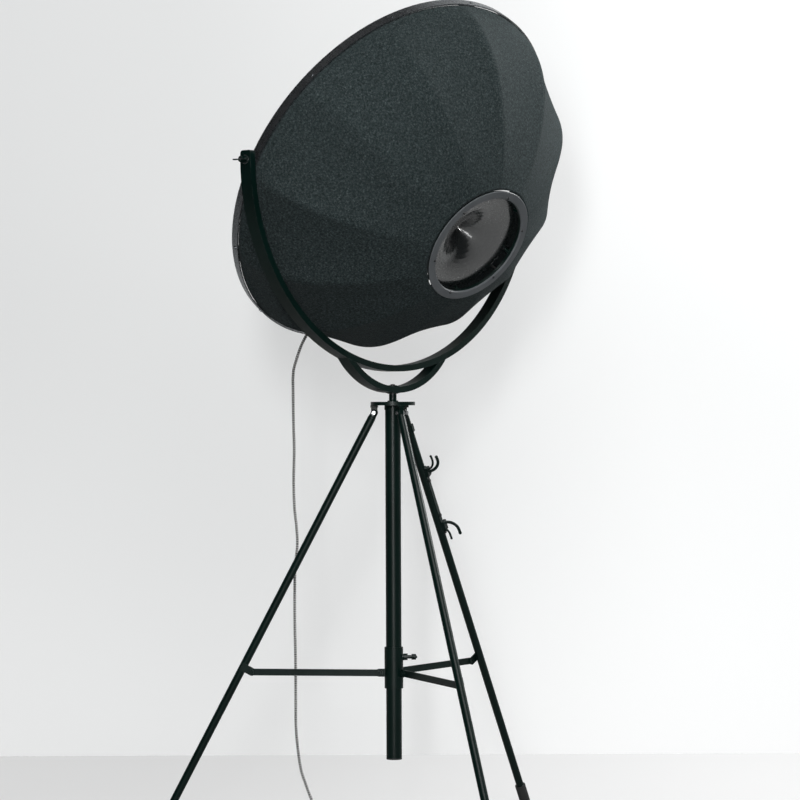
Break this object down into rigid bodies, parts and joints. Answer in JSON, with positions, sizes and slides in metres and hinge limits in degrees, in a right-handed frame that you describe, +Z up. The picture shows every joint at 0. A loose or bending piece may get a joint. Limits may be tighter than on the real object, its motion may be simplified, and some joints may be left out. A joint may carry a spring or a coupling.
{
  "type": "tripod spotlight floor lamp",
  "caption": "Floor spotlight with a ribbed fabric dome shade on a tilting, swivelling yoke, a sliding mast and a folding steel tripod.",
  "frame": {"origin": "on the floor, under the axis of the column", "axes": "+Z up; the light shines towards -Y at rest and tilts about an axis along X; +Y is the side of the apex ring"},
  "size_m": [1.0114, 0.9425, 1.8384],
  "materials": {
    "steel_green": "semi-gloss near-black green powder coat",
    "bush_plastic": "plain moulded",
    "rubber_black": "matt rubber",
    "bright_steel": "zinc plated",
    "band_grey": "satin grey",
    "shade_fabric": "dark grey-green stretched cotton",
    "ring_grey": "satin grey",
    "black_steel": "blackened",
    "gloss_black": "high-gloss black",
    "cup_white": "matt white inside and out",
    "holder_black": "moulded phenolic",
    "lamp_glass": "frosted",
    "cord_textile": "black and white braided textile",
    "plug_black": "moulded"
  },
  "bodies": {
    "column": {"column_tube": "steel_green", "top_plate": "steel_green", "rod_collet": "steel_green", "column_bush": "bush_plastic", "column_end_plug": "rubber_black", "leg_brackets": "steel_green", "leg_hinge_bolts": "bright_steel", "cord_drop": "cord_textile", "cord_coil": "cord_textile", "cord_tail": "cord_textile", "plug": "plug_black"},
    "collar": {"spreader_collar": "steel_green", "collar_pivot_bolts": "steel_green"},
    "collar_screw": {"collar_wing_screw": "steel_green"},
    "mast": {"mast_rod": "steel_green", "rod_guide": "bush_plastic", "swivel_washers": "black_steel", "swivel_screw": "black_steel"},
    "yoke": {"yoke_arc": "steel_green", "yoke_crescent": "steel_green", "cord_upper": "cord_textile"},
    "nut_left": {"wing_nut_left": "steel_green"},
    "nut_right": {"wing_nut_right": "steel_green"},
    "leg_1": {"leg_1": "steel_green", "foot_cap_1": "rubber_black"},
    "arm_1": {"spreader_arm_1": "steel_green", "arm_end_bolts_1": "steel_green"},
    "leg_2": {"leg_2": "steel_green", "foot_cap_2": "rubber_black"},
    "arm_2": {"spreader_arm_2": "steel_green", "arm_end_bolts_2": "steel_green"},
    "leg_3": {"leg_3": "steel_green", "foot_cap_3": "rubber_black", "hook_backplate": "steel_green", "hook_upper": "steel_green", "hook_lower": "steel_green", "hook_screws": "black_steel"},
    "arm_3": {"spreader_arm_3": "steel_green", "arm_end_bolts_3": "steel_green"},
    "shade": {"pivot_bolts": "bright_steel", "pivot_washers": "bright_steel", "rim_band": "band_grey", "pivot_plates": "steel_green", "rim_rivets": "band_grey", "shade_ribs": "steel_green", "shade_cover": "shade_fabric", "apex_ring": "ring_grey", "apex_clamp_ring": "steel_green", "apex_ring_screws": "black_steel", "reflector_funnel": "gloss_black", "funnel_pillars": "steel_green", "support_rods": "steel_green", "lamp_cup": "cup_white", "lampholder": "holder_black", "bulb_base": "bright_steel", "bulb_glass": "lamp_glass", "cup_gland": "holder_black", "inner_lead": "cord_textile", "lead_clips": "rubber_black", "rim_grommet": "rubber_black"}
  },
  "joints": [
    {"name": "height_slide", "type": "slide", "parent": "column", "child": "mast", "axis": [0, 0, 1], "range_m": [0, 0.5]},
    {"name": "swivel", "type": "hinge", "parent": "mast", "child": "yoke", "pos_m": [0, 0, 0.985], "axis": [0, 0, 1], "range_deg": [-180, 180]},
    {"name": "tilt", "type": "hinge", "parent": "yoke", "child": "shade", "pos_m": [0, 0, 1.478], "axis": [1, 0, 0], "range_deg": [-56, 124]},
    {"name": "wing_nut_left_turn", "type": "hinge", "parent": "shade", "child": "nut_left", "pos_m": [0.457, 0, 1.478], "axis": [1, 0, 0], "range_deg": [-180, 180]},
    {"name": "wing_nut_right_turn", "type": "hinge", "parent": "shade", "child": "nut_right", "pos_m": [-0.457, 0, 1.478], "axis": [-1, 0, 0], "range_deg": [-180, 180]},
    {"name": "tripod_fold", "type": "slide", "parent": "column", "child": "collar", "axis": [0, 0, 1], "range_m": [0, 0.226]},
    {"name": "collar_screw_turn", "type": "hinge", "parent": "collar", "child": "collar_screw", "pos_m": [-0.02779, 0.02877, 0.387], "axis": [-0.6947, 0.7193, 0], "range_deg": [-180, 180]},
    {"name": "leg_fold_1", "type": "hinge", "parent": "column", "child": "leg_1", "pos_m": [0.0258, -0.03314, 0.936], "axis": [0.7891, 0.6143, 0], "range_deg": [0, 25.8]},
    {"name": "arm_fold_1", "type": "hinge", "parent": "collar", "child": "arm_1", "pos_m": [0.01966, -0.02525, 0.352], "axis": [0.7891, 0.6143, 0], "range_deg": [0, 88.2]},
    {"name": "leg_fold_2", "type": "hinge", "parent": "column", "child": "leg_2", "pos_m": [0.0158, 0.03891, 0.936], "axis": [-0.9265, 0.3762, 0], "range_deg": [0, 25.8]},
    {"name": "arm_fold_2", "type": "hinge", "parent": "collar", "child": "arm_2", "pos_m": [0.01204, 0.02965, 0.352], "axis": [-0.9265, 0.3762, 0], "range_deg": [0, 88.2]},
    {"name": "leg_fold_3", "type": "hinge", "parent": "column", "child": "leg_3", "pos_m": [-0.0416, -0.00577, 0.936], "axis": [0.1374, -0.9905, 0], "range_deg": [0, 25.8]},
    {"name": "arm_fold_3", "type": "hinge", "parent": "collar", "child": "arm_3", "pos_m": [-0.0317, -0.0044, 0.352], "axis": [0.1374, -0.9905, 0], "range_deg": [0, 88.2]}
  ],
  "couplings": [
    {"joint": "leg_fold_1", "follows": "tripod_fold", "rad_per_m": 1.9767},
    {"joint": "arm_fold_1", "follows": "tripod_fold", "rad_per_m": 6.7926},
    {"joint": "leg_fold_2", "follows": "tripod_fold", "rad_per_m": 1.9767},
    {"joint": "arm_fold_2", "follows": "tripod_fold", "rad_per_m": 6.7926},
    {"joint": "leg_fold_3", "follows": "tripod_fold", "rad_per_m": 1.9767},
    {"joint": "arm_fold_3", "follows": "tripod_fold", "rad_per_m": 6.7926}
  ]
}
